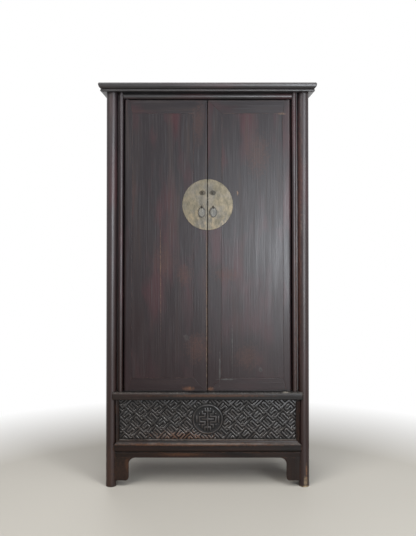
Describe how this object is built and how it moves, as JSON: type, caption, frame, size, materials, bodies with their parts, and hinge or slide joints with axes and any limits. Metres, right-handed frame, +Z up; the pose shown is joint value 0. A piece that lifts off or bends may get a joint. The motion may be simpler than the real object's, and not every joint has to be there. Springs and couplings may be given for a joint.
{
  "type": "chinese book cabinet",
  "caption": "Tall round-post cabinet with splayed sides, two pivoted panelled doors behind a round brass lock plate, inner shelves, a hidden floor compartment and a carved lower panel.",
  "frame": {"origin": "on the floor, under the middle of the cap", "axes": "+Z up, +X to the right of someone facing the doors, -Y towards that person"},
  "size_m": [0.994, 0.52, 1.9],
  "materials": {
    "dark_lacquered_wood": "worn dark purple-brown lacquer, satin",
    "brown_lacquered_wood": "worn brown lacquer with rubbed edges, satin",
    "bare_wood": "unfinished, aged",
    "aged_brass": "dull, aged",
    "dark_brass": "dark patina",
    "grey_brass": "grey patina"
  },
  "bodies": {
    "carcass": {"back_bottom_rail": "bare_wood", "back_left_post": "dark_lacquered_wood", "back_middle_rail": "bare_wood", "back_panel": "bare_wood", "back_right_post": "dark_lacquered_wood", "back_upper_rail": "bare_wood", "bottom_rail": "brown_lacquered_wood", "carved_panel": "brown_lacquered_wood", "compartment_floor": "bare_wood", "door_sill": "brown_lacquered_wood", "front_apron": "brown_lacquered_wood", "front_left_post": "dark_lacquered_wood", "front_right_post": "dark_lacquered_wood", "left_bottom_side_rail": "dark_lacquered_wood", "left_bracket": "brown_lacquered_wood", "left_jamb": "dark_lacquered_wood", "left_lower_side_panel": "dark_lacquered_wood", "left_middle_side_rail": "dark_lacquered_wood", "left_side_apron": "brown_lacquered_wood", "left_side_panel": "dark_lacquered_wood", "lintel": "dark_lacquered_wood", "lower_back_panel": "bare_wood", "lower_shelf": "bare_wood", "main_floor": "bare_wood", "panel_mouldings": "brown_lacquered_wood", "right_bottom_side_rail": "dark_lacquered_wood", "right_bracket": "brown_lacquered_wood", "right_jamb": "dark_lacquered_wood", "right_lower_side_panel": "dark_lacquered_wood", "right_middle_side_rail": "dark_lacquered_wood", "right_side_apron": "brown_lacquered_wood", "right_side_panel": "dark_lacquered_wood", "shelf_bearers": "bare_wood", "side_brackets": "brown_lacquered_wood", "top_back_rail": "dark_lacquered_wood", "top_battens": "bare_wood", "top_front_rail": "dark_lacquered_wood", "top_left_rail": "dark_lacquered_wood", "top_panel": "dark_lacquered_wood", "top_right_rail": "dark_lacquered_wood", "upper_shelf": "bare_wood"},
    "right_door": {"right_outer_stile": "dark_lacquered_wood", "right_meeting_stile": "dark_lacquered_wood", "right_door_top_rail": "dark_lacquered_wood", "right_door_bottom_rail": "dark_lacquered_wood", "right_door_panel": "dark_lacquered_wood", "right_door_battens": "bare_wood", "right_lock_plate": "aged_brass", "right_eyes": "dark_brass"},
    "left_door": {"left_outer_stile": "dark_lacquered_wood", "left_meeting_stile": "dark_lacquered_wood", "left_door_top_rail": "dark_lacquered_wood", "left_door_bottom_rail": "dark_lacquered_wood", "left_door_panel": "dark_lacquered_wood", "left_door_battens": "bare_wood", "left_lock_plate": "aged_brass", "left_eyes": "dark_brass"},
    "right_pull": {"right_pull_tab": "grey_brass"},
    "left_pull": {"left_pull_tab": "grey_brass"},
    "loose_floor_board": {"floor_lid": "bare_wood"}
  },
  "joints": [
    {"name": "right_door_pivot", "type": "hinge", "parent": "carcass", "child": "right_door", "pos_m": [0.394, -0.205, 0], "axis": [-0.0132, 0, 0.9999], "range_deg": [0, 100]},
    {"name": "left_door_pivot", "type": "hinge", "parent": "carcass", "child": "left_door", "pos_m": [-0.394, -0.205, 0], "axis": [0.0132, 0, 0.9999], "range_deg": [-100, 0]},
    {"name": "right_pull_swing", "type": "hinge", "parent": "right_door", "child": "right_pull", "pos_m": [0.027, -0.2265, 1.336], "axis": [-1, 0, 0], "range_deg": [0, 80]},
    {"name": "left_pull_swing", "type": "hinge", "parent": "left_door", "child": "left_pull", "pos_m": [-0.027, -0.2265, 1.336], "axis": [-1, 0, 0], "range_deg": [0, 80]},
    {"name": "floor_board_lift", "type": "slide", "parent": "carcass", "child": "loose_floor_board", "axis": [0, 0, 1], "range_m": [0, 0.25]}
  ]
}
